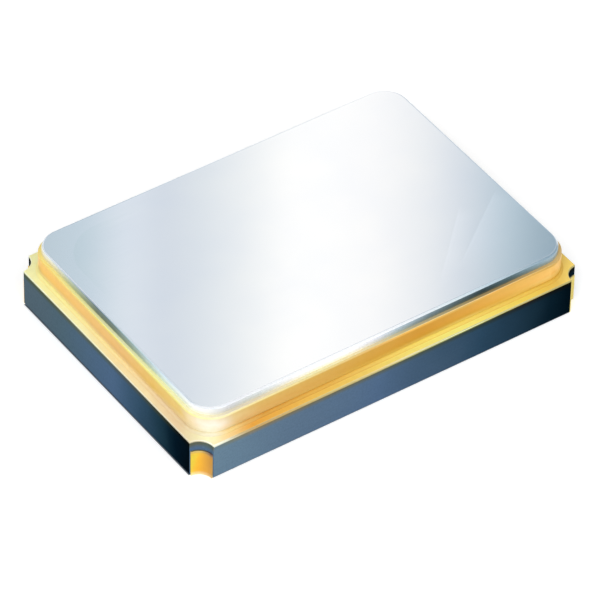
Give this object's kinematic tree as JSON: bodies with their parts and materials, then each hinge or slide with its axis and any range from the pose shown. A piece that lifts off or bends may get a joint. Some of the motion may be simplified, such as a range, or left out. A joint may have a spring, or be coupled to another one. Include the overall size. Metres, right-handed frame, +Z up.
{
  "type": "crystal oscillator",
  "caption": "Surface-mount crystal clock oscillator: ceramic body with plated corner castellations and solder pads, gold seal ring and flat metal lid.",
  "frame": {"origin": "centre of the package on the plane of the solder pads", "axes": "+X along the long side, +Z up out of the lid; solder pads 1 to 4 run counter-clockwise seen from above, from the -X -Y corner"},
  "size_m": [0.007, 0.005, 0.0012],
  "materials": {
    "ceramic": "matte fired dark alumina",
    "seal_gold": "satin gold plating on the printed seal frame",
    "braze": "gold-plated silver-copper braze",
    "ring_gold": "satin gold plating on the ring",
    "lid_nickel": "satin nickel plating with a fine grain",
    "terminal_gold": "satin gold plating",
    "trace_gold": "satin gold-plated printed trace",
    "tungsten": "matte fired tungsten",
    "chip_adhesive": "matte silver-filled epoxy",
    "silicon": "polished silicon",
    "contact_metal": "satin aluminium",
    "wire_gold": "polished gold wire",
    "crystal_adhesive": "matte silver-filled silicone",
    "quartz": "polished quartz",
    "electrode_gold": "polished thin gold film"
  },
  "bodies": {
    "root": {"ceramic_base": "ceramic", "seal_metallization": "seal_gold", "braze_joint": "braze", "seal_ring": "ring_gold", "lid": "lid_nickel", "terminal_1": "terminal_gold", "terminal_2": "terminal_gold", "terminal_3": "terminal_gold", "terminal_4": "terminal_gold", "lead_1": "trace_gold", "lead_2": "trace_gold", "lead_3": "trace_gold", "lead_4": "trace_gold", "crystal_lead_1": "trace_gold", "crystal_lead_2": "trace_gold", "ground_via": "tungsten", "die_pad": "trace_gold", "die_attach": "chip_adhesive", "oscillator_die": "silicon", "die_bond_pads": "contact_metal", "bond_wire_1": "wire_gold", "bond_wire_2": "wire_gold", "bond_wire_3": "wire_gold", "bond_wire_4": "wire_gold", "bond_wire_5": "wire_gold", "bond_wire_6": "wire_gold", "adhesive_dot_1": "crystal_adhesive", "adhesive_dot_2": "crystal_adhesive", "quartz_blank": "quartz", "electrode_bottom": "electrode_gold", "electrode_top": "electrode_gold"}
  },
  "joints": []
}
